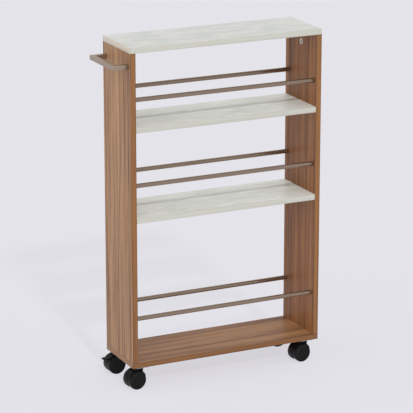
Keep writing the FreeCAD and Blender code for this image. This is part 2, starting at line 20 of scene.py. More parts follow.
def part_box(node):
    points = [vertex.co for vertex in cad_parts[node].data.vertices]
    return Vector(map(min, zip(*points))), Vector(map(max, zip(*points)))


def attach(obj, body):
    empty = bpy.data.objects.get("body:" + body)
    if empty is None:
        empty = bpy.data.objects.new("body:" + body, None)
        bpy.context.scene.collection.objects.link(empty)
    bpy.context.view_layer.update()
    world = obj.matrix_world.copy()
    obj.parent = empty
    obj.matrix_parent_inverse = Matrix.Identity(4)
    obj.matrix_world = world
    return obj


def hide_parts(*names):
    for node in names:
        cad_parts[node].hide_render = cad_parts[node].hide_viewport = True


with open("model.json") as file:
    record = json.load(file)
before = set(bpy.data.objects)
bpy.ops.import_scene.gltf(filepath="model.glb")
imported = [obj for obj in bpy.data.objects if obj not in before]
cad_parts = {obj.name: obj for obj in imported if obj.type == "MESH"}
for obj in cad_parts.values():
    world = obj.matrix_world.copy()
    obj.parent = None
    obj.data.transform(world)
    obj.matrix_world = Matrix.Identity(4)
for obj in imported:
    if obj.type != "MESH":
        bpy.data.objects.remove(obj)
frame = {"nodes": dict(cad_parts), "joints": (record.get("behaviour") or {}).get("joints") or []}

log = logging.getLogger("trolley")

MM = 0.001  # metres in a millimetre
SAME_POINT = 1e-7  # metres
WHITE = (1.0, 1.0, 1.0)
CORNERS = ("front_left", "front_right", "rear_left", "rear_right")

Point = tuple[float, float]
Triple = tuple[float, float, float]
Colour = Triple
Mesh = bmesh.types.BMesh
Material = bpy.types.Material
Socket = bpy.types.NodeSocket
Sockets = Mapping[str, Socket]
Inputs = Mapping | Sequence


# --- meshes

def skin(bm: Mesh, first: Sequence[bmesh.types.BMVert],
         second: Sequence[bmesh.types.BMVert], closed: bool) -> None:
    """Lays quads between two rows of points that run the same way.

    Args:
        bm: The mesh that the points belong to.
        first: The first row.
        second: The second row.
        closed: Whether each row's last point joins its first.
    """
    count = len(first)
    for i in range(count if closed else count - 1):
        j = (i + 1) % count
        bm.faces.new((first[i], first[j], second[j], second[i]))


def lofted(sections: Sequence[Sequence[Vector]]) -> Mesh:
    """A solid skin over a row of closed sections that have the same number of points.

    Args:
        sections: The sections, in order, in millimetres.

    Returns:
        A mesh with outward faces.
    """
    bm = bmesh.new()
    rings = [[bm.verts.new(point * MM) for point in section] for section in sections]
    for first, second in zip(rings, rings[1:]):
        skin(bm, first, second, True)
    bm.faces.new(rings[0])
    bm.faces.new(rings[-1])
    bmesh.ops.recalc_face_normals(bm, faces=bm.faces)
    return bm


def revolved(profile: Sequence[Point], segments: int = 72) -> Mesh:
    """A solid of revolution about the Z axis.

    Args:
        profile: Pairs of radius and height, open at the axis or closed round a ring.
        segments: Number of steps round the axis.

    Returns:
        A mesh with outward faces, its points at the axis merged.
    """
    bm = bmesh.new()
    rings = []
    for step in range(segments):
        turn = 2 * math.pi * step / segments
        rings.append([bm.verts.new(Vector((r * math.cos(turn), r * math.sin(turn), z)) * MM)
                      for r, z in profile])
    hollow = profile[0][0] > 0 or profile[-1][0] > 0
    for first, second in zip(rings, rings[1:] + rings[:1]):
        skin(bm, first, second, hollow)
    bmesh.ops.remove_doubles(bm, verts=bm.verts, dist=SAME_POINT)
    bmesh.ops.recalc_face_normals(bm, faces=bm.faces)
    return bm


def extruded(outline: Sequence[Point], low: float, high: float) -> Mesh:
    """A flat outline in the XY plane, given a height along Z."""
    return lofted([[Vector((x, y, z)) for x, y in outline] for z in (low, high)])


def slab(low: Sequence[float], high: Sequence[float]) -> Mesh:
    """A box between two corners."""
    (x, y, z), (far_x, far_y, far_z) = low, high
    return extruded([(x, y), (far_x, y), (far_x, far_y), (x, far_y)], z, far_z)


def ease(bm: Mesh, width: float, segments: int = 2, angle: float = 40.0,
         chosen: Callable[[bmesh.types.BMEdge], bool] | None = None) -> Mesh:
    """Rounds a mesh's sharp edges.

    Args:
        bm: The mesh, changed in place.
        width: Width of the rounding.
        segments: Number of faces across it.
        angle: Edges sharper than this many degrees are rounded.
        chosen: A further test of each edge.

    Returns:
        The same mesh.
    """
    edges = [edge for edge in bm.edges
             if edge.is_manifold and edge.calc_face_angle(0) > math.radians(angle)
             and (chosen is None or chosen(edge))]
    bmesh.ops.bevel(bm, geom=edges, offset=width * MM, segments=segments, profile=0.5,
                    affect="EDGES", clamp_overlap=True)
    return bm


def moved(bm: Mesh, matrix: Matrix) -> Mesh:
    """The same mesh after a move."""
    bm.transform(matrix)
    return bm


def stored(name: str, bm: Mesh) -> bpy.types.Mesh:
    """Stored data made from a mesh.

    Args:
        name: The data's name.
        bm: The mesh. It is freed.

    Returns:
        The data.
    """
    data = bpy.data.meshes.new(name)
    bm.to_mesh(data)
    bm.free()
    return data


def added(name: str, data: bpy.types.ID) -> bpy.types.Object:
    """A new object in the scene.

    Args:
        name: The object's name.
        data: The stored data that it shows.

    Returns:
        The object.
    """
    item = bpy.data.objects.new(name, data)
    bpy.context.scene.collection.objects.link(item)
    return item


def joined(parts: Iterable[Mesh]) -> Mesh:
    """Several meshes as one, without changing their surfaces.

    Args:
        parts: The meshes. They are freed.

    Returns:
        A new mesh.
    """
    whole = bmesh.new()
    for part in parts:
        data = stored("part", part)
        whole.from_mesh(data)
        bpy.data.meshes.remove(data)
    return whole


def copies(shape: Mesh, places: Iterable[Matrix]) -> Mesh:
    """One mesh that holds a shape at every place."""
    return joined(moved(shape.copy(), place) for place in places)


def at(x: float, y: float, z: float) -> Matrix:
    """A place at a point in millimetres."""
    return Matrix.Translation(Vector((x, y, z)) * MM)


def facing(point: Sequence[float], direction: Sequence[float]) -> Matrix:
    """A place at a point in millimetres, with +Z turned to a direction."""
    return at(*point) @ Vector(direction).to_track_quat("Z", "Y").to_matrix().to_4x4()


def boolean(base: Mesh, tools: Sequence[Mesh], operation: str) -> Mesh:
    """A mesh after other meshes are added to it or cut out of it.

    Args:
        base: The mesh to change.
        tools: The meshes to add or cut, one by one.
        operation: "UNION" or "DIFFERENCE".

    Returns:
        A new mesh.
    """
    items = [added("work", stored("work", bm)) for bm in (base, *tools)]
    for item in items[1:]:
        modifier = items[0].modifiers.new("boolean", "BOOLEAN")
        modifier.operation, modifier.solver, modifier.object = operation, "EXACT", item
    evaluated = items[0].evaluated_get(bpy.context.evaluated_depsgraph_get())
    result = bmesh.new()
    result.from_mesh(evaluated.to_mesh())
    evaluated.to_mesh_clear()
    for item in items:
        bpy.data.meshes.remove(item.data)
    return result


def shade(bm: Mesh, angle: float = 32.0) -> None:
    """Shades a mesh smooth, with sharp edges where its faces meet steeply.

    Args:
        bm: The mesh, changed in place.
        angle: Edges sharper than this many degrees stay sharp.
    """
    bm.normal_update()
    for face in bm.faces:
        face.smooth = True
    for edge in bm.edges:
        edge.smooth = not edge.is_manifold or edge.calc_face_angle(0) < math.radians(angle)


def arc(centre: Point, radius: float, first: float, last: float, steps: int) -> list[Point]:
    """Points along an arc between two angles in degrees."""
    turns = [math.radians(first + (last - first) * i / steps) for i in range(steps + 1)]
    return [(centre[0] + radius * math.cos(t), centre[1] + radius * math.sin(t)) for t in turns]


def rounded_outline(width: float, height: float, radius: float, steps: int = 4) -> list[Point]:
    """A rectangle about the origin with rounded corners.

    Args:
        width: Its size along X.
        height: Its size along Y.
        radius: The corners' radius.
        steps: Number of steps round each corner.

    Returns:
        The outline's points.
    """
    x, y = width / 2 - radius, height / 2 - radius
    corners = (((x, y), 0), ((-x, y), 90), ((-x, -y), 180), ((x, -y), 270))
    return [point for centre, turn in corners
            for point in arc(centre, radius, turn, turn + 90, steps)]


# --- shader graphs

class Graph:
    """A node tree that is filled step by step."""

    def __init__(self, tree: bpy.types.NodeTree) -> None:
        """Wraps a node tree. Its place is the vector that its textures use."""
        self.tree, self.place = tree, None

    def fill(self, node: bpy.types.Node, inputs: Inputs) -> bpy.types.Node:
        """Gives a node's inputs their values and links.

        Args:
            node: The node.
            inputs: The values or sockets that its inputs get, in order or by name or number.

        Returns:
            The same node.
        """
        for key, value in inputs.items() if isinstance(inputs, Mapping) else enumerate(inputs):
            if isinstance(value, Socket):
                self.tree.links.new(value, node.inputs[key])
            else:
                node.inputs[key].default_value = value
        return node

    def node(self, kind: str, inputs: Inputs = (),
             **settings: object) -> bpy.types.Node:
        """Adds a node.

        Args:
            kind: The node's type.
            inputs: What its inputs get, as in fill.
            settings: The node's own properties.

        Returns:
            The node.
        """
        node = self.tree.nodes.new(kind)
        for key, value in settings.items():
            setattr(node, key, value)
        return self.fill(node, inputs)

    def math(self, operation: str, a: object, b: object = 0.0, clamp: bool = False) -> Socket:
        """The result of a sum on one or two values."""
        return self.node("ShaderNodeMath", (a, b), operation=operation,
                         use_clamp=clamp).outputs[0]

    def plus(self, a: object, b: object, clamp: bool = False) -> Socket:
        """One value added to another."""
        return self.math("ADD", a, b, clamp)

    def times(self, a: object, b: object, clamp: bool = False) -> Socket:
        """One value multiplied by another."""
        return self.math("MULTIPLY", a, b, clamp)

    def vector(self, operation: str, inputs: Inputs, output: object = 0) -> Socket:
        """The result of a sum on vectors."""
        return self.node("ShaderNodeVectorMath", inputs, operation=operation).outputs[output]

    def mix(self, share: object, a: object, b: object) -> Socket:
        """A mix of two colours."""
        return self.node("ShaderNodeMix", {0: share, 6: a, 7: b}, data_type="RGBA",
                         clamp_factor=True).outputs[2]

    def range(self, value: Socket, low: float, high: float, to_low: object = 0.0,
              to_high: object = 1.0, smooth: bool = False) -> Socket:
        """Moves a value from one range to another and clamps it, easing in and out if smooth."""
        return self.node("ShaderNodeMapRange", (value, low, high, to_low, to_high),
                         interpolation_type="SMOOTHSTEP" if smooth else "LINEAR").outputs[0]

    def noise(self, cells: Triple, detail: float = 3.0, roughness: float = 0.55,
              distortion: float = 0.0) -> Socket:
        """Noise in stretched space.

        Args:
            cells: Number of cells per metre along each axis.
            detail: Number of finer layers.
            roughness: How much each finer layer counts.
            distortion: How far the noise bends itself.

        Returns:
            The noise, from 0 to 1.
        """
        return self.node("ShaderNodeTexNoise", {
            "Vector": self.vector("MULTIPLY", (self.place, cells)), "Scale": 1,
            "Detail": detail, "Roughness": roughness, "Distortion": distortion}).outputs["Fac"]

    def bump(self, height: Socket, strength: float, distance: float) -> Socket:
        """A normal from a height, with the distance in millimetres."""
        return self.node("ShaderNodeBump", {"Strength": strength, "Distance": distance * MM,
                                            "Height": height}).outputs[0]


VECTOR, COLOUR = "Vector", "Color"


def effect(outputs: Sequence[str], **inputs: object) -> Callable[[Callable], Callable]:
    """Makes a shared shader node group of the function that fills it.

    Args:
        outputs: Labels of its outputs. "Color" is a colour, and the others are values.
        inputs: Labels of its inputs, each with VECTOR, COLOUR or a value's default.

    Returns:
        A decorator. What it makes places the group, which is built once, in a graph.
    """
    def wrap(build: Callable[[Graph, Sockets], dict[str, Socket]]) -> Callable[..., Sockets]:
        """The decorator.

        Args:
            build: Fills the group and says what its outputs get. Its name is the group's.

        Returns:
            The function that places the group.
        """
        @cache
        def group() -> bpy.types.NodeTree:
            """Builds the group.

            Returns:
                The group, with its sockets and nodes.
            """
            tree = bpy.data.node_groups.new(build.__name__, "ShaderNodeTree")
            for label, default in inputs.items():
                kind = default if default in (VECTOR, COLOUR) else "Float"
                socket = tree.interface.new_socket(label, in_out="INPUT",
                                                   socket_type=f"NodeSocket{kind}")
                if kind == "Float":
                    socket.default_value = default
            for label in outputs:
                kind = COLOUR if label == "Color" else "Float"
                tree.interface.new_socket(label, in_out="OUTPUT", socket_type=f"NodeSocket{kind}")
            graph = Graph(tree)
            into = graph.node("NodeGroupInput").outputs
            graph.place = into["Vector"]
            graph.node("NodeGroupOutput", build(graph, into))
            return tree

        def place(graph: Graph, **values: object) -> Sockets:
            """The outputs of the group, placed in a graph with its own values."""
            return graph.node("ShaderNodeGroup", {"Vector": graph.place, **values},
                              node_tree=group()).outputs

        return place

    return wrap


# The effects that several materials share. Noise is in cells per metre.


@effect(("Color", "Height", "Roughness"), Vector=VECTOR, Dark=COLOUR,
        Middle=COLOUR, Light=COLOUR, Wander=0.01, Bands=0.4, Streaks=0.4, Lines=0.4)
def laminate_grain(g: Graph, into: Sockets) -> dict[str, Socket]:
    """Straight wood grain along the vector's Z axis, as printed on a laminate.

    Args:
        g: The group's graph.
        into: Its inputs.

    Returns:
        What its outputs get.
    """
    fibre_share = 0.2
    wander = g.noise((5, 5, 1.6), 2)
    shift = g.times(g.math("SUBTRACT", wander, 0.5), into["Wander"])
    offset = g.node("ShaderNodeCombineXYZ", (shift, shift)).outputs[0]
    g.place = g.vector("ADD", (g.place, offset))
    bands = g.noise((48, 48, 0.9), 2, 0.5)
    streaks = g.noise((230, 230, 2.6), 4, 0.6)
    fibres = g.noise((1100, 1100, 16), 3, 0.6)
    tone = g.plus(g.times(bands, into["Bands"]),
                  g.plus(g.times(streaks, into["Streaks"]), g.times(fibres, fibre_share)))
    total = g.plus(g.plus(into["Bands"], into["Streaks"]), fibre_share)
    tone = g.math("DIVIDE", tone, total)
    low = g.mix(g.range(tone, 0.38, 0.5), into["Dark"], into["Middle"])
    colour = g.mix(g.range(tone, 0.5, 0.60), low, into["Light"])
    lines = g.range(g.noise((260, 260, 2.2), 3, 0.55), 0.57, 0.68, smooth=True)
    pores = g.range(g.noise((2300, 2300, 70), 1), 0.62, 0.72, smooth=True)
    marks = g.math("MAXIMUM", g.times(lines, into["Lines"]), g.times(pores, 0.45))
    return {"Color": g.mix(marks, colour, into["Dark"]),
            "Height": g.math("SUBTRACT", g.times(fibres, 0.4), pores),
            "Roughness": g.range(g.plus(streaks, pores), 0.3, 1.2, 0.36, 0.56)}


@effect(("Color", "Roughness"), Vector=VECTOR, Ground=COLOUR, Cloud=COLOUR,
        Vein=COLOUR, Veins=0.5)
def marble_veining(g: Graph, into: Sockets) -> dict[str, Socket]:
    """Soft clouds, broken veins and a fine speckle that drift along the vector's X axis.

    Args:
        g: The group's graph.
        into: Its inputs.

    Returns:
        What its outputs get.
    """
    clouds = g.noise((9, 26, 26), 5, 0.62, 0.6)
    ground = g.mix(g.range(clouds, 0.36, 0.66, smooth=True), into["Ground"], into["Cloud"])
    ridge = g.noise((7, 20, 20), 6, 0.6, 1.1)
    near = g.math("ABSOLUTE", g.math("SUBTRACT", ridge, 0.5))
    fade = g.range(g.noise((14, 30, 30), 2), 0.42, 0.62)
    veins = g.times(g.range(near, 0, 0.022, 1, 0, smooth=True), fade)
    speckle = g.range(g.noise((900, 1500, 1500), 2), 0.6, 0.75)
    marks = g.plus(g.times(veins, into["Veins"]), g.times(speckle, 0.18), clamp=True)
    return {"Color": g.mix(marks, ground, into["Vein"]),
            "Roughness": g.range(clouds, 0.3, 0.7, 0.30, 0.42)}


@effect(("Mask",), Vector=VECTOR, Radius=0.0012, Amount=0.5, Even=0)
def edge_wear_and_seam_shade(g: Graph, into: Sockets) -> dict[str, Socket]:
    """A mask along outer edges, found by comparing the normal with a rounded one. It marks wear
    on metal and plastic, and painted shade in the seams of the edging strips.

    Args:
        g: The group's graph.
        into: Its inputs.

    Returns:
        What its outputs get.
    """
    rounded = g.node("ShaderNodeBevel", {"Radius": into["Radius"]}, samples=4).outputs[0]
    flat = g.node("ShaderNodeNewGeometry").outputs["True Normal"]
    edge = g.range(g.vector("DOT_PRODUCT", (rounded, flat), "Value"), 0.99, 0.82)
    patch = g.range(g.noise((160, 160, 160), 3), 0.38, 0.7)
    patch = g.math("MAXIMUM", patch, into["Even"])
    return {"Mask": g.times(g.times(edge, patch), into["Amount"], clamp=True)}


@effect(("Roughness", "Mask"), Vector=VECTOR, Roughness=0.4, Amount=0.15)
def handling_marks(g: Graph, into: Sockets) -> dict[str, Socket]:
    """Wide faint smudges with fine dust in them, which vary the gloss.

    Args:
        g: The group's graph.
        into: Its inputs.

    Returns:
        What its outputs get.
    """
    smudge = g.noise((22, 22, 22), 4, 0.6, 0.4)
    dust = g.noise((1800, 1800, 1800), 1)
    mask = g.times(g.range(smudge, 0.4, 0.7), g.range(dust, 0.3, 0.8))
    return {"Roughness": g.plus(into["Roughness"], g.times(mask, into["Amount"])),
            "Mask": mask}


@effect(("Height", "Tone"), Vector=VECTOR, Cells=1600)
def moulded_texture(g: Graph, into: Sockets) -> dict[str, Socket]:
    """The fine spark-eroded texture of moulded plastic, in two sizes of pebble.

    Args:
        g: The group's graph.
        into: Its inputs.

    Returns:
        What its outputs get.
    """
    scaled = g.vector("SCALE", {0: g.place, "Scale": into["Cells"]})
    cells = g.node("ShaderNodeTexVoronoi", {"Vector": scaled, "Scale": 1},
                   feature="SMOOTH_F1").outputs["Distance"]
    fine = g.noise((5200, 5200, 5200), 2)
    height = g.plus(cells, g.times(fine, 0.5))
    return {"Height": height, "Tone": g.range(height, 0.3, 1.1)}


@effect(("Height", "Roughness"), Vector=VECTOR, Low=0.25, High=0.45)
def hair_lines(g: Graph, into: Sockets) -> dict[str, Socket]:
    """Fine hair lines of two lengths along the vector's Z axis.

    Args:
        g: The group's graph.
        into: Its inputs.

    Returns:
        What its outputs get.
    """
    long_lines = g.noise((2600, 2600, 14), 3, 0.6)
    short_lines = g.noise((5200, 5200, 90), 2)
    height = g.plus(g.times(long_lines, 0.7), g.times(short_lines, 0.3))
    return {"Height": height,
            "Roughness": g.range(height, 0.3, 0.7, into["Low"], into["High"])}


class Along(Enum):
    """The axis that a finish's grain or lines follow, as the order of X, Y and Z."""

    X = (1, 2, 0)
    Y = (2, 0, 1)
    Z = (0, 1, 2)


def rgba(colour: Colour, tint: Colour = WHITE) -> tuple[float, float, float, float]:
    """A colour with full opacity, after a tint."""
    return (*(part * share for part, share in zip(colour, tint)), 1)


def blank(name: str) -> tuple[Material, Graph]:
    """A new material with nothing in its graph.

    Args:
        name: The material's name.

    Returns:
        The material and its graph.
    """
    material = bpy.data.materials.new(name)
    material.use_nodes = True
    material.node_tree.nodes.clear()
    return material, Graph(material.node_tree)


@dataclass(frozen=True)
class Finish(ABC):
    """What every finish has: a name, and textures in the object's own coordinates.

    The textures run along one axis and can be moved by some metres.
    """

    name: str
    along: Along = Along.Z
    shift: float = 0.0

    @cache
    def material(self) -> Material:
        """Makes the finish's material, once.

        Returns:
            The material.
        """
        material, graph = blank(self.name)
        place = graph.node("ShaderNodeTexCoord").outputs["Object"]
        axes = graph.node("ShaderNodeSeparateXYZ", [place]).outputs
        ordered = graph.node("ShaderNodeCombineXYZ",
                             [axes[number] for number in self.along.value]).outputs[0]
        shift = (self.shift, self.shift * 1.7, self.shift)
        graph.place = graph.vector("ADD", (ordered, shift))
        shader = graph.node("ShaderNodeBsdfPrincipled", self.surface(graph))
        graph.node("ShaderNodeOutputMaterial", {"Surface": shader.outputs[0]})
        return material

    @abstractmethod
    def surface(self, g: Graph) -> dict[str, object]:
        """What the surface shader's inputs get, in the material's graph."""


@dataclass(frozen=True)
class WoodLaminate(Finish):
    """A walnut print under a satin overlay."""

    dark: Colour = (0.105, 0.048, 0.023)
    middle: Colour = (0.295, 0.155, 0.078)
    light: Colour = (0.440, 0.250, 0.134)
    # The tint makes a board's copy of the print lighter or darker, painting the light or shade
    # that falls on that board.
    tint: Colour = WHITE
    bands: float = 0.35
    streaks: float = 0.5
    lines: float = 0.5
    wander: float = 0.012
    gloss: float = 0.22

    def surface(self, g: Graph) -> dict[str, object]:
        """The print's grain, with its pores pressed into the overlay.

        Args:
            g: The material's graph.

        Returns:
            What the shader's inputs get.
        """
        wood = laminate_grain(g, Dark=rgba(self.dark, self.tint),
                              Middle=rgba(self.middle, self.tint),
                              Light=rgba(self.light, self.tint), Wander=self.wander,
                              Bands=self.bands, Streaks=self.streaks, Lines=self.lines)
        marks = handling_marks(g, Roughness=wood["Roughness"], Amount=0.12)
        return {"Base Color": wood["Color"], "Roughness": marks["Roughness"],
                "Specular IOR Level": self.gloss, "Normal": g.bump(wood["Height"], 0.25, 0.05)}


@dataclass(frozen=True)
class PaleLaminate(Finish):
    """A pale marble-look print under a satin overlay."""

    ground: Colour = (0.655, 0.665, 0.625)
    cloud: Colour = (0.560, 0.575, 0.535)
    vein: Colour = (0.400, 0.405, 0.375)
    veins: float = 0.25
    # How much lighter the print is made: painted light on the board's face.
    painted_light_lift: float = 1.0

    def surface(self, g: Graph) -> dict[str, object]:
        """The print's clouds and veins.

        Args:
            g: The material's graph.

        Returns:
            What the shader's inputs get.
        """
        # Lightens every colour of the print as painted light.
        painted_light_lift = (self.painted_light_lift, self.painted_light_lift, self.painted_light_lift)
        stone = marble_veining(g, Ground=rgba(self.ground, painted_light_lift),
                               Cloud=rgba(self.cloud, painted_light_lift), Vein=rgba(self.vein, painted_light_lift),
                               Veins=self.veins)
        marks = handling_marks(g, Roughness=stone["Roughness"], Amount=0.1)
        return {"Base Color": stone["Color"], "Roughness": marks["Roughness"],
                "Normal": g.bump(marks["Mask"], 0.08, 0.04)}


@dataclass(frozen=True)
class EdgeBand(Finish):
    """A thin edging strip with a fine print, darker along its borders as painted shade in the
    seams beside it.
    """

    base: Colour = (0.312, 0.136, 0.037)
    streak: Colour = (0.220, 0.088, 0.025)
    # The borders' colour and width in metres paint the shade in the seams.
    seam_shade: Colour = (0.110, 0.048, 0.020)
    border: float = 0.003

    def surface(self, g: Graph) -> dict[str, object]:
        """The print's streaks, darker along the strip's edges as painted shade in the seams.

        Args:
            g: The material's graph.

        Returns:
            What the shader's inputs get.
        """
        streaks = g.noise((300, 300, 3.5), 4, 0.65)
        colour = g.mix(g.range(streaks, 0.42, 0.62), rgba(self.base), rgba(self.streak))
        # The edge mask darkens the strip's borders: painted shade in the seams against the
        # board's faces.
        wear = edge_wear_and_seam_shade(g, Radius=self.border, Amount=1, Even=0.8)
        marks = handling_marks(g, Roughness=0.42, Amount=0.14)
        return {"Base Color": g.mix(wear["Mask"], colour, rgba(self.seam_shade)),
                "Roughness": marks["Roughness"], "Normal": g.bump(streaks, 0.15, 0.04)}


@dataclass(frozen=True)
class Metal(Finish):
    """Lacquered or plated metal with hair lines. Low and high are its range of roughness."""

    base: Colour = WHITE
    deep: Colour = WHITE
    metallic: float = 0.9
    low: float = 0.28
    high: float = 0.42

    def surface(self, g: Graph) -> dict[str, object]:
        """The hair lines, brighter where edges are rubbed.

        Args:
            g: The material's graph.

        Returns:
            What the shader's inputs get.
        """
        lines = hair_lines(g, Low=self.low, High=self.high)
        marks = handling_marks(g, Roughness=lines["Roughness"], Amount=0.12)
        wear = edge_wear_and_seam_shade(g, Radius=0.0006, Amount=0.3)
        colour = g.mix(g.range(lines["Height"], 0.3, 0.7), rgba(self.deep), rgba(self.base))
        bright = tuple(min(1, part * 1.5) for part in self.base)
        return {"Base Color": g.mix(wear["Mask"], colour, rgba(bright)),
                "Roughness": marks["Roughness"], "Metallic": self.metallic,
                "Normal": g.bump(lines["Height"], 0.06, 0.03)}


@dataclass(frozen=True)
class Moulded(Finish):
    """Moulded plastic with a fine texture, dust in its pits and rubbed edges."""

    base: Colour = (0.003, 0.003, 0.003)
    dusty: Colour = (0.010, 0.010, 0.010)
    roughness: float = 0.30
    gloss: float = 0.10
    cells: float = 1600.0
    depth: float = 0.04
    wear: float = 0.35

    def surface(self, g: Graph) -> dict[str, object]:
        """The texture, paler where it is dusty or rubbed.

        Args:
            g: The material's graph.

        Returns:
            What the shader's inputs get.
        """
        pebble = moulded_texture(g, Cells=self.cells)
        marks = handling_marks(g, Roughness=self.roughness, Amount=0.2)
        wear = edge_wear_and_seam_shade(g, Radius=0.0008, Amount=self.wear)
        dust = g.plus(g.times(marks["Mask"], 0.5), g.times(pebble["Tone"], 0.25))
        tone = g.plus(dust, wear["Mask"], clamp=True)
        return {"Base Color": g.mix(tone, rgba(self.base), rgba(self.dusty)),
                "Roughness": marks["Roughness"], "Specular IOR Level": self.gloss,
                "Normal": g.bump(pebble["Height"], 0.2, self.depth)}


@dataclass(frozen=True)
class Beech(Finish):
    """Plain turned dowel wood."""

    light: Colour = (0.62, 0.45, 0.28)
    dark: Colour = (0.42, 0.28, 0.16)

    def surface(self, g: Graph) -> dict[str, object]:
        """The wood's grain.

        Args:
            g: The material's graph.

        Returns:
            What the shader's inputs get.
        """
        wood = laminate_grain(g, Dark=rgba(self.dark), Middle=rgba(self.light),
                              Light=rgba(self.light), Lines=0.2)
        return {"Base Color": wood["Color"], "Roughness": wood["Roughness"]}


# The copies of one edging differ in tone by the face they cover, painting the light and shade on
# each: the bottom board's front strips darker, its ends lighter and warmer, and the pale ends
# peach as painted warm light.
PANEL_BAND = EdgeBand("brown_edging_upright")
BASE_BAND = EdgeBand("brown_edging_long", Along.X, base=(0.255, 0.109, 0.031),
                     streak=(0.190, 0.078, 0.023))
BASE_ENDS = EdgeBand("brown_edging_ends", Along.Y, base=(0.325, 0.166, 0.075),
                     streak=(0.240, 0.115, 0.050))
PALE_BAND = EdgeBand("pale_edging", Along.X, base=(0.595, 0.590, 0.523),
                     streak=(0.541, 0.541, 0.476), seam_shade=(0.430, 0.420, 0.355), border=0.002)
PALE_ENDS = EdgeBand("pale_edging_ends", Along.Y, base=(0.686, 0.609, 0.514),
                     streak=(0.630, 0.560, 0.470), seam_shade=(0.480, 0.450, 0.390), border=0.002)
BRONZE_RAIL = Metal("bronze_rail", Along.X, base=(0.366, 0.277, 0.217),
                    deep=(0.254, 0.185, 0.139), low=0.14, high=0.25)
BRONZE_HANDLE = Metal("bronze_handle", Along.Y, base=(0.465, 0.372, 0.298),
                      deep=(0.344, 0.27, 0.209), low=0.30, high=0.44)
ZINC = Metal("zinc_plate", base=(0.62, 0.62, 0.63), deep=(0.46, 0.46, 0.48), metallic=1,
             high=0.44)
CASTER_ZINC = Metal("caster_zinc", base=(0.60, 0.60, 0.61), deep=(0.44, 0.44, 0.46),
                    metallic=1)
CAST_ZINC = Metal("die_cast_zinc", Along.X, base=(0.86, 0.80, 0.74), deep=(0.78, 0.72, 0.66),
                  metallic=0.15, low=0.4, high=0.6)
# The cam's sunk middle is the same zinc as its rim, made dark as painted shade in its recess.
SHADED_CAM_CORE = Metal("cam_core", Along.X, base=(0.20, 0.18, 0.16), deep=(0.13, 0.12, 0.11),
                 metallic=0.5, low=0.45, high=0.6)
HOOD_BLACK = Moulded("moulded_black")
WHEEL_BLACK = Moulded("wheel_black", roughness=0.26, gloss=0.16, cells=2400, depth=0.02)


# --- pieces

def piece(name: str, bm: Mesh, finish: Finish, body: str,
          stands_for: Sequence[str] = ()) -> None:
    """Makes a finished object that rides on a body.

    Args:
        name: The object's name.
        bm: Its mesh in the model's frame. It is freed.
        finish: Its finish.
        body: The body that it rides on.
        stands_for: CAD nodes that it replaces.
    """
    shade(bm)
    item = added(name, stored(name, bm))
    item.data.materials.append(finish.material())
    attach(item, body)
    if stands_for:
        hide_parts(*stands_for)
    log.info("%s: %d faces on %s", name, len(item.data.polygons), body)


def dress(node: str, finish: Finish) -> None:
    """Gives a CAD node its finish.

    Args:
        node: The node's name.
        finish: The finish.
    """
    materials = frame["nodes"][node].data.materials
    materials.clear()
    materials.append(finish.material())


def box(node: str) -> tuple[Vector, Vector]:
    """A CAD node's lowest and highest corners in millimetres."""
    low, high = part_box(node)
    return low / MM, high / MM


def joint(name: str) -> dict:
    """The record's joint of that name."""
    return next(item for item in frame["joints"] if item["name"] == name)


# --- carcass

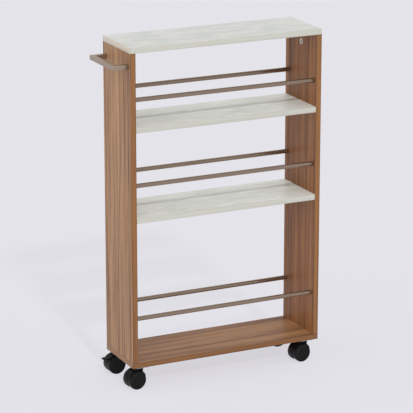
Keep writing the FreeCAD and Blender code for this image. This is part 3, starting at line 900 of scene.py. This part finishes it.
@dataclass
class Carcass:
    """The boards and the strips along their edges."""

    edging: float = 1.0
    corner: float = 0.7

    # The axis of the grain, its shift in metres, the share of bands and the tint. The tint paints
    # light and shade on each board's copy of the print: lighter on the left panel for the light
    # on its outer face, darker and warmer on the right panel for the shade inside the frame, and
    # on the bottom board set to the light on its top.
    walnut = {"left_side_panel": (Along.Z, 0, 0.15, (1.21, 1.22, 1.20)),
              "right_side_panel": (Along.Z, 0.37, 0.35, (0.94, 0.74, 0.54)),
              "bottom_board": (Along.X, 0.21, 0.35, (1.08, 1.01, 0.91))}
    # The pattern's shift in metres and how much lighter it is. The lift is painted light: the
    # shelves are made lighter against the shade under the boards above them, and the top board a
    # little for the light on its top.
    pale = {"top_board": (0, 1.025), "upper_shelf": (0.43, 1.22), "lower_shelf": (0.81, 1.23)}
    # The edging's slot, and the finishes of the long strips and of those on the ends.
    bands = {"left_side_panel": ("brown_edging", PANEL_BAND, None),
             "right_side_panel": ("brown_edging", PANEL_BAND, None),
             "upper_shelf": ("pale_edging", PALE_BAND, None),
             "lower_shelf": ("pale_edging", PALE_BAND, None),
             "top_board": ("pale_edging", PALE_BAND, PALE_ENDS),
             "bottom_board": ("brown_edging", BASE_BAND, BASE_ENDS)}

    def build(self) -> None:
        """Dresses the boards and lays the strips."""
        # Each board's tint paints the light and shade that fall on it.
        for board, (along, shift, share, tint) in self.walnut.items():
            dress(board, WoodLaminate(f"walnut_laminate_{board}", along, shift, bands=share,
                                      tint=tint))
        for board, (shift, painted_light_lift) in self.pale.items():
            dress(board, PaleLaminate(f"pale_laminate_{board}", shift=shift, painted_light_lift=painted_light_lift))
        for board, (slot, band, ends) in self.bands.items():
            self.strips(board, band, ends)

    def strips(self, board: str, band: EdgeBand, ends: EdgeBand | None) -> None:
        """Lays the strips of one board, which replace its edging node.

        Args:
            board: The board's node.
            band: The finish of the strips along the front and the back.
            ends: The finish of the strips on the board's ends, if it has them.
        """
        node = f"{board.replace('side_', '')}_edging"
        (left, front, under), (right, back, top) = box(board)
        edging, reach = self.edging, 0
        if ends:
            reach = edging
            parts = [self.strip((x, front, under), (x + edging, back, top), (outward, 0, 0))
                     for x, outward in ((left - edging, -1), (right, 1))]
            piece(node.replace("edging", "end_strips"), joined(parts), ends, "carcass")
        parts = [self.strip((left - reach, y, under), (right + reach, y + edging, top),
                            (0, outward, 0))
                 for y, outward in ((front - edging, -1), (back, 1))]
        piece(node.replace("edging", "edge_strips"), joined(parts), band, "carcass",
              [node])

    def strip(self, low: Sequence[float], high: Sequence[float],
              outward: Sequence[float]) -> Mesh:
        """A strip with the edges of its outer face rounded.

        Args:
            low: Its lowest corner.
            high: Its highest corner.
            outward: The way that its outer face looks.

        Returns:
            The strip.
        """
        def outer(edge: bmesh.types.BMEdge) -> bool:
            """Whether an edge bounds the outer face."""
            return any(face.normal.dot(Vector(outward)) > 0.9 for face in edge.link_faces)

        bm = slab(low, high)
        bm.normal_update()
        return ease(bm, self.corner, 3, chosen=outer)


# --- rails and handle

@dataclass
class GuardRails:
    """The round rails that keep things on the shelves."""

    wall: float = 1.0
    segments: int = 64

    def build(self) -> None:
        """Makes the rails as tubes in their sockets."""
        for node in (f"{level}_{side}_rail" for level in ("upper", "middle", "lower")
                     for side in ("front", "rear")):
            low, high = box(node)
            radius, length = (high.z - low.z) / 2, high.x - low.x
            bore = radius - self.wall
            tube = revolved([(bore, 0), (radius, 0), (radius, length), (bore, length)],
                            self.segments)
            place = at(low.x, (low.y + high.y) / 2, (low.z + high.z) / 2)
            turn = Matrix.Rotation(math.radians(90), 4, "Y")
            piece(f"{node}_tube", moved(tube, place @ turn), BRONZE_RAIL, "carcass",
                  [node])


@dataclass
class PullHandle:
    """The square bar bent into a U on the left panel."""

    bar: float = 12.0
    corner: float = 2.5
    edge: float = 0.7

    def build(self) -> None:
        """Makes the bar with eased edges."""
        low, high = box("handle")
        r, outer, inner = self.corner, high.x, low.x + self.bar
        outline = [(outer, low.y), *arc((low.x + r, low.y + r), r, 270, 180, 5),
                   *arc((low.x + r, high.y - r), r, 180, 90, 5), (outer, high.y),
                   (outer, high.y - self.bar), (inner, high.y - self.bar),
                   (inner, low.y + self.bar), (outer, low.y + self.bar)]
        bar = ease(extruded(outline, low.z, high.z), self.edge, 3)
        piece("handle_bar", bar, BRONZE_HANDLE, "carcass", ["handle"])


# --- fasteners

def cross_recess(width: float, blade: float, depth: float, top: float) -> Mesh:
    """The tool that cuts a screwdriver's cross into a head, tapered to its tip.

    Args:
        width: The cross's width at the face.
        blade: The thickness of its arms.
        depth: How deep it goes.
        top: The face's height.

    Returns:
        The tool.
    """
    def arm(turned: bool) -> Mesh:
        """One blade of the cross.

        Args:
            turned: Whether it lies along Y.

        Returns:
            The blade.
        """
        sections = []
        for z, share in ((top + 0.2, 1), (top - depth, 0.45)):
            outline = rounded_outline(width * share, blade * share, blade * share * 0.3, 2)
            sections.append([Vector((y, x, z) if turned else (x, y, z)) for x, y in outline])
        return lofted(sections)

    return boolean(arm(False), [arm(True)], "UNION")


@dataclass(frozen=True)
class Screw:
    """A cross-headed screw with its head up and its seat at zero height."""

    head_radius: float
    head_height: float
    shank_radius: float
    length: float
    recess: float
    flange: float = 0.0

    def mesh(self) -> Mesh:
        """The screw, domed where it has no flange, with its recess cut.

        Returns:
            The screw.
        """
        radius, top, shank = self.head_radius, self.head_height, self.shank_radius
        if self.flange:
            crown = [(0, top + 0.3), (radius, top + 0.28), (self.flange, top + 0.1),
                     (self.flange, top), (radius, top), (shank + 0.3, 0)]
        else:
            crown = [(0, top), (radius * 0.45, top * 0.96), (radius * 0.8, top * 0.72),
                     (radius * 0.97, top * 0.38), (radius, top * 0.1), (radius * 0.98, 0)]
        point = self.length - 1.5 * shank
        profile = [*crown, (shank, 0), (shank, -point), (0, -self.length)]
        cross = cross_recess(self.recess, self.recess * 0.26, top * 0.8, crown[0][1])
        return boolean(revolved(profile, 40), [cross], "DIFFERENCE")


@dataclass(frozen=True)
class Cam:
    """A die-cast cam in its bore, its face up, with a thin flange over the bore's rim."""

    radius: float = 7.2
    flange: float = 7.8
    proud: float = 0.35
    depth: float = 12.4
    core_radius: float = 4.4
    core_sunk: float = 1.6

    def rim(self) -> Mesh:
        """The ring that shows round the driver's socket.

        Returns:
            The ring.
        """
        bore = self.core_radius
        return revolved([(bore, -3), (bore, self.proud - 0.2), (bore + 0.2, self.proud),
                         (self.flange - 0.25, self.proud), (self.flange, self.proud - 0.2),
                         (self.flange, 0), (self.radius, 0), (self.radius, -3)], 48)

    def core(self) -> Mesh:
        """The sunk middle with its cross, and the body behind the ring.

        Returns:
            The core.
        """
        bore, floor = self.core_radius - 0.05, -self.core_sunk
        profile = [(0, floor), (bore - 0.4, floor), (bore, floor - 0.4), (bore, -3.05),
                   (self.radius, -3.05), (self.radius, -self.depth), (0, -self.depth)]
        cross = cross_recess(2 * bore - 1.4, 1.9, 4, floor)
        return boolean(revolved(profile, 48), [cross], "DIFFERENCE")


@dataclass
class Fasteners:
    """The cams, screws, bolts and dowels that hold the boards together."""

    cam_setback: float = 34.0
    foot_screw_y: float = 34.0
    foot_screw_seat: float = 2.0
    handle_screw_y: float = 68.5
    plate_screw_pitch: float = 28.0
    plate: float = 2.0

    def build(self) -> None:
        """Dresses what is hidden and makes the faces that show."""
        dress("cam_bolts", ZINC)
        dress("dowels", Beech("beech_dowel"))
        foot = Screw(head_radius=4.6, head_height=self.foot_screw_seat, shank_radius=3.4,
                     length=47, recess=4.4, flange=5.6)
        grip = Screw(head_radius=4, head_height=2.4, shank_radius=1.9, length=24, recess=4.6)
        small = Screw(head_radius=3.4, head_height=1.9, shank_radius=1.7, length=13.5, recess=3.7)
        cams = self.cam_places()
        for name, shape, places, finish, slot, nodes in (
                ("cam_rims", Cam().rim(), cams, CAST_ZINC, "cam_metal", []),
                ("cam_cores", Cam().core(), cams, SHADED_CAM_CORE, "cam_metal", ["cam_locks"]),
                ("foot_screws", foot.mesh(), self.foot_places(), ZINC, "steel",
                 ["bottom_board_screws"]),
                ("handle_screw_pair", grip.mesh(), self.handle_places(), ZINC, "steel",
                 ["handle_screws"]),
                ("plate_screws", small.mesh(), self.plate_places(), ZINC, "steel",
                 ["caster_screws"])):
            piece(name, copies(shape, places), finish, "carcass", nodes)

    def cam_places(self) -> list[Matrix]:
        """Cams in the panels' inner faces and the shelves' undersides.

        Returns:
            Their places.
        """
        left, right = box("left_side_panel")[1].x, box("right_side_panel")[0].x
        height = box("top_board")[0].z - self.cam_setback
        places = [facing((left, 0, height), (1, 0, 0)), facing((right, 0, height), (-1, 0, 0))]
        for shelf in ("upper_shelf", "lower_shelf"):
            under = box(shelf)[0].z
            places += [facing((x, 0, under), (0, 0, -1))
                       for x in (left + self.cam_setback, right - self.cam_setback)]
        return places

    def foot_places(self) -> list[Matrix]:
        """Screws that come up through the bottom board into the panels.

        Returns:
            Their places.
        """
        under = box("bottom_board")[0].z + self.foot_screw_seat
        return [facing(((low.x + high.x) / 2, y, under), (0, 0, -1))
                for low, high in (box("left_side_panel"), box("right_side_panel"))
                for y in (-self.foot_screw_y, self.foot_screw_y)]

    def handle_places(self) -> list[Matrix]:
        """Screws through the left panel into the handle's legs.

        Returns:
            Their places.
        """
        low, high = box("handle")
        inner = box("left_side_panel")[1].x
        return [facing((inner, y, (low.z + high.z) / 2), (1, 0, 0))
                for y in (-self.handle_screw_y, self.handle_screw_y)]

    def plate_places(self) -> list[Matrix]:
        """Screws through the casters' plates.

        Returns:
            Their places.
        """
        half, places = self.plate_screw_pitch / 2, []
        for corner in CORNERS:
            stem = Vector(joint(f"{corner}_swivel")["pos_m"]) / MM
            places += [facing((stem.x + x, stem.y + y, stem.z - self.plate), (0, 0, -1))
                       for x in (-half, half) for y in (-half, half)]
        return places


# --- casters

@dataclass
class Caster:
    """A twin-wheel swivel caster with a moulded hood, and on some corners a brake lever.

    Its own frame has its origin in the middle of the axle, +X towards the stem, +Y along the
    axle to the back and +Z up.
    """

    corner: str
    trail: float = 17.5
    wheel_radius: float = 25.0
    half_width: float = 19.0
    half_gap: float = 8.0
    core_half: float = 7.7
    core_radius: float = 25.2
    core_rear: float = 207.0
    hood_inner: float = 26.0
    hood_outer: float = 28.0
    hood_half: float = 15.0
    hood_front: float = 20.0
    pin_bore: float = 4.05
    pivot_radius: float = 22.2
    pivot_angle: float = 126.0
    eye_radius: float = 3.2
    eye_half: float = 4.4
    pedal_inner: float = 27.2
    pedal_outer: float = 29.0
    pedal_half: float = 13.0
    pedal_angles: Point = (115.0, 139.0)
    tab_length: float = 15.0
    tab_half: float = 10.0
    tab_corner: float = 3.5
    tab_slope: float = 7.0

    @property
    def braked(self) -> bool:
        """Whether this caster has a brake lever."""
        return f"{self.corner}_brake_lever" in frame["nodes"]

    @property
    def pivot(self) -> Point:
        """The lever's pivot in the plane of the wheels."""
        return arc((0, 0), self.pivot_radius, self.pivot_angle, self.pivot_angle, 1)[0]

    @property
    def place(self) -> Matrix:
        """From the caster's own frame to the model's.

        Returns:
            The place.
        """
        spin = joint(f"{self.corner}_near_wheel_spin")
        x, y, _ = spin["axis"]
        return (Matrix.Translation(Vector(spin["pos_m"]))
                @ Matrix.Rotation(math.atan2(-x, y), 4, "Z"))

    def build(self) -> None:
        """Makes the caster's pieces."""
        corner, place = self.corner, self.place
        for name, side in (("near", -1), ("far", 1)):
            turn = Matrix.Rotation(math.radians(-90 * side), 4, "X")
            node = f"{corner}_{name}_wheel"
            piece(f"{node}_disc", moved(self.wheel(), place @ turn), WHEEL_BLACK,
                  f"{node}_body", [node])
        stem = Matrix.Translation(Vector(joint(f"{corner}_swivel")["pos_m"]))
        body, axle = f"{corner}_caster", self.pin((0, 0), 3, self.half_width - 1.9)
        parts = [("hood_and_stem", self.housing(), place, HOOD_BLACK, body, "caster_housing"),
                 ("axle_rod", axle, place, CASTER_ZINC, body, "axle"),
                 ("mounting_plate", self.plate(), stem, CASTER_ZINC, "carcass", "caster_plate"),
                 ("kingpin_rod", self.kingpin(), stem, CASTER_ZINC, "carcass", "kingpin")]
        if self.braked:
            pin = self.pin(self.pivot, 1.5, self.core_half)
            parts += [("brake_pedal", self.pedal(), place, HOOD_BLACK, f"{corner}_brake",
                       "brake_lever"),
                      ("pedal_pin", pin, place, CASTER_ZINC, body, "lever_pin")]
        for name, shape, where, finish, rides_on, node in parts:
            piece(f"{corner}_{name}", moved(shape, where), finish, rides_on,
                  [f"{corner}_{node}"])

    def wheel(self) -> Mesh:
        """One wheel about the Z axis, its outer face up.

        Returns:
            The wheel.
        """
        radius, face, gap = self.wheel_radius, self.half_width, self.half_gap
        hub = [(0, face - 0.15), (4.2, face - 0.2), (5.4, face - 0.5), (5.9, face - 1.1)]
        dish = [(6.6, face - 1.2), (19.2, face - 0.95), (20.3, face - 0.5), (20.9, face - 0.05),
                (21.6, face), (radius - 1.9, face)]
        tread = [*arc((radius - 1.9, face - 1.9), 1.9, 75, 0, 5), (radius, gap + 0.8),
                 *arc((radius - 0.8, gap + 0.8), 0.8, -15, -90, 3)]
        hollow = [(radius - 3, gap), (radius - 3.2, gap + 0.3), (radius - 3.4, face - 2.6),
                  (6.2, face - 2.6), (6, gap + 0.3), (5.8, gap)]
        bore = [(3.05, gap), (3.05, face - 1.6), (0, face - 1.6)]
        return revolved([*hub, *dish, *tread, *hollow, *bore], 96)

    @staticmethod
    def upright(outline: Sequence[Point], half: float) -> Mesh:
        """An outline in the plane of the wheels, given a thickness along the axle."""
        return lofted([[Vector((x, y, z)) for x, z in outline] for y in (-half, half)])

    @staticmethod
    def cover(inner: float, outer: float, half: float, first: float, last: float) -> Mesh:
        """A curved cover over the wheels, crowned across and rounded along its rims.

        Args:
            inner: Its inner radius.
            outer: Its outer radius in the middle.
            half: Half its width.
            first: Angle of its front end in degrees.
            last: Angle of its rear end.

        Returns:
            The cover.
        """
        rim = min(0.9, (outer - inner) * 0.45)
        low = outer - rim - 0.15
        section = [*arc((half - rim, low), rim, 0, 90, 4), (half * 0.5, outer - 0.04),
                   (0, outer), (-half * 0.5, outer - 0.04),
                   *arc((rim - half, low), rim, 90, 180, 4), (-half, inner + 0.3),
                   (0.3 - half, inner), (half - 0.3, inner), (half, inner + 0.3)]
        turns = arc((0, 0), 1, first, last, max(6, round((last - first) / 4)))
        return ease(lofted([[Vector((r * x, y, r * z)) for y, r in section] for x, z in turns]),
                    0.45, 2, 50)

    def housing(self) -> Mesh:
        """The hood, the core between the wheels and the barrel, as one moulding.

        Returns:
            The moulding.
        """
        rear = 112 if self.braked else 152
        core = ease(self.upright([
            *arc((0, 0), self.hood_inner + 1, self.hood_front, rear, 24),
            *arc((0, 0), self.core_radius, rear + 0.5, self.core_rear, 22),
            *arc((0, 0), 7.4, 240, 335, 9), (11, 4),
        ], self.core_half), 0.7, 3)
        barrel = revolved([
            (0, 4), (6.4, 4), (7.3, 4.4), (7.7, 5.3), (7.7, 23.6), (8, 24.3), (8.2, 25.2),
            (8.2, 30.9), (7.9, 31.5), (7.4, 31.7), (0, 31.7)], 56)
        bore = revolved([(0, 10.7), (self.pin_bore, 10.7), (self.pin_bore, 33),
                         (0, 33)], 40)
        stem = at(self.trail, 0, 0)
        hood = self.cover(self.hood_inner, self.hood_outer, self.hood_half, self.hood_front, rear)
        body = boolean(hood, [core, moved(barrel, stem)], "UNION")
        tools = [moved(bore, stem)]
        if self.braked:
            slot = [*arc((0, 0), 18.4, 107, 146, 10), *arc((0, 0), self.hood_inner, 146, 107, 10)]
            tools.append(self.upright(slot, self.eye_half + 0.3))
        return boolean(body, tools, "DIFFERENCE")

    def pedal(self) -> Mesh:
        """The brake lever: a curved shell, a ridged tab, two shoes, a neck and an eye.

        Returns:
            The lever.
        """
        (first, last), inner = self.pedal_angles, self.pedal_inner
        turn, root = math.radians(180 + self.tab_slope), math.radians(last)
        out = Vector((math.cos(turn), 0, math.sin(turn)))
        up = Vector((math.sin(turn), 0, -math.cos(turn)))
        start = Vector((math.cos(root), 0, math.sin(root))) * inner
        tab = (Matrix.Translation(start * MM)
               @ Matrix((out, up.cross(out), up)).transposed().to_4x4())
        length, half, corner = self.tab_length, self.tab_half, self.tab_corner
        plan = [(-2, -half), *arc((length - corner, corner - half), corner, -90, 0, 6),
                *arc((length - corner, half - corner), corner, 0, 90, 6), (-2, half)]
        parts = [moved(ease(extruded(plan, 0.4, 2), 0.4, 2, 50), tab)]
        for x in (4, 6.6, 9.2, 11.8):
            ridge = slab((x, 2.4 - half, 1.6), (x + 1.1, half - 2.4, 2.4))
            parts.append(moved(ease(ridge, 0.3, 2), tab))
        shoe = [*arc((0, 0), 26.4, 133, last, 4), *arc((0, 0), inner + 0.9, last, 133, 4)]
        parts += [moved(self.upright(shoe, 1.5), at(0, 11.5 * side, 0)) for side in (-1, 1)]
        turn = math.radians(self.pivot_angle)
        ahead = Vector((math.cos(turn), math.sin(turn)))
        across = Vector((-math.sin(turn), math.cos(turn)))
        reach = inner + 0.9 - self.pivot_radius
        neck = self.upright([tuple(Vector(self.pivot) + ahead * a + across * b)
                             for a, b in ((0, -2), (reach, -2), (reach, 2), (0, 2))],
                            self.eye_half)
        eye = self.pin(self.pivot, self.eye_radius, self.eye_half)
        shell = self.cover(inner, self.pedal_outer, self.pedal_half, first, last)
        body = boolean(shell, [*parts, neck, eye], "UNION")
        return boolean(body, [self.pin(self.pivot, 1.55, self.eye_half + 1)], "DIFFERENCE")

    @staticmethod
    def pin(centre: Point, radius: float, half: float) -> Mesh:
        """A round pin along the axle's direction, with eased ends.

        Args:
            centre: Its place in the plane of the wheels.
            radius: Its radius.
            half: Half its length.

        Returns:
            The pin.
        """
        eased = min(0.3, radius * 0.2)
        rod = revolved([(0, -half), (radius - eased, -half), (radius, eased - half),
                        (radius, half - eased), (radius - eased, half), (0, half)], 32)
        return moved(rod, at(centre[0], 0, centre[1])
                     @ Matrix.Rotation(math.radians(90), 4, "X"))

    def plate(self) -> Mesh:
        """The pressed plate under the board with its raised race, about the stem.

        Returns:
            The plate.
        """
        sheet = ease(extruded(rounded_outline(38, 38, 5, 6), -2, 0), 0.35, 2, 60)
        race = revolved([(0, -3), (7.6, -3), (8.2, -2.8), (8.5, -2.3), (9.2, -1.9),
                         (9.2, -1), (0, -1)], 56)
        hole = revolved([(0, -4), (self.pin_bore, -4), (self.pin_bore, 1), (0, 1)],
                        40)
        return boolean(boolean(sheet, [race], "UNION"), [hole], "DIFFERENCE")

    @staticmethod
    def kingpin() -> Mesh:
        """The riveted pin that the housing turns on, about the stem."""
        return revolved([(0, -24), (3.4, -24), (4, -23.4), (4, -0.2), (3.8, 0),
                         (0, 0)], 40)


# --- studio

@dataclass
class Studio:
    """The floor, the light and the camera."""

    camera_mm: Triple = (-2567.7, -5314.1, 2180.6)
    yaw: float = 25.813
    pitch: float = 16.322
    focal_px: float = 2303.7
    frame_px: int = 413
    floor_half: float = 14000.0
    floor_depth: float = 40.0
    paper: Colour = (0.770, 0.762, 0.811)
    backdrop: Colour = (0.776, 0.768, 0.816)
    even_share: float = 0.79
    sky: float = 0.75

    # Strength, width in degrees and the way that the light travels.
    lamps = {"front_lamp": (1.1, 4.5, (0.14, 1.22, -1)),
             "left_fill": (0.5, 80, (0.95, 0, -0.31))}

    def build(self) -> None:
        """Sets up everything round the object."""
        self.floor()
        self.light()
        self.camera()
        bpy.context.scene.view_settings.view_transform = "Standard"

    def floor(self) -> None:
        """A wide pale floor that keeps the object's shadow under a share of its own tone."""
        material, graph = blank("studio_paper")
        paper = graph.node("ShaderNodeBsdfPrincipled", {
            "Base Color": rgba(self.paper), "Roughness": 0.9, "Specular IOR Level": 0})
        tone = graph.node("ShaderNodeEmission", {"Color": rgba(self.backdrop)})
        ray = graph.node("ShaderNodeLightPath").outputs
        seen = graph.math("MAXIMUM", ray["Is Camera Ray"], graph.math(
            "MAXIMUM", ray["Is Glossy Ray"], ray["Is Transmission Ray"]))
        mixed = graph.node("ShaderNodeMixShader", (
            graph.times(seen, self.even_share), paper.outputs[0], tone.outputs[0]))
        graph.node("ShaderNodeOutputMaterial", {"Surface": mixed.outputs[0]})
        half = self.floor_half
        bm = slab((-half, -half, -self.floor_depth), (half, half, 0))
        item = added("studio_floor", stored("studio_floor", bm))
        item.data.materials.append(material)

    def light(self) -> None:
        """An even sky, a lamp from the front and above, and a wide soft fill from the left."""
        world = bpy.data.worlds.new("studio_sky")
        bpy.context.scene.world = world
        world.use_nodes = True
        Graph(world.node_tree).fill(world.node_tree.nodes["Background"],
                                    {"Color": rgba(WHITE), "Strength": self.sky})
        for name, (energy, width, direction) in self.lamps.items():
            data = bpy.data.lights.new(name, "SUN")
            data.energy, data.angle = energy, math.radians(width)
            turn = Vector(direction).to_track_quat("-Z", "Y")
            added(name, data).rotation_euler = turn.to_euler()

    def camera(self) -> None:
        """A long lens at the photograph's angle."""
        data = bpy.data.cameras.new("studio_camera")
        data.sensor_width, data.sensor_fit = 36, "AUTO"
        data.lens = self.focal_px * data.sensor_width / self.frame_px
        data.clip_start, data.clip_end = 0.1, 60
        yaw, pitch = math.radians(self.yaw), math.radians(self.pitch)
        ahead = Vector((math.sin(yaw) * math.cos(pitch), math.cos(yaw) * math.cos(pitch),
                        -math.sin(pitch)))
        item = added("studio_camera", data)
        item.location = Vector(self.camera_mm) * MM
        item.rotation_euler = ahead.to_track_quat("-Z", "Y").to_euler()
        bpy.context.scene.camera = item


# --- all together


def main() -> None:
    """Builds the trolley's looks and the studio."""
    logging.basicConfig(level=logging.INFO, format="%(name)s: %(message)s")
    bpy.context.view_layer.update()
    for part in (Studio(), Carcass(), GuardRails(), PullHandle(), Fasteners()):
        part.build()
    for corner in CORNERS:
        Caster(corner).build()


if __name__ == "__main__":
    main()
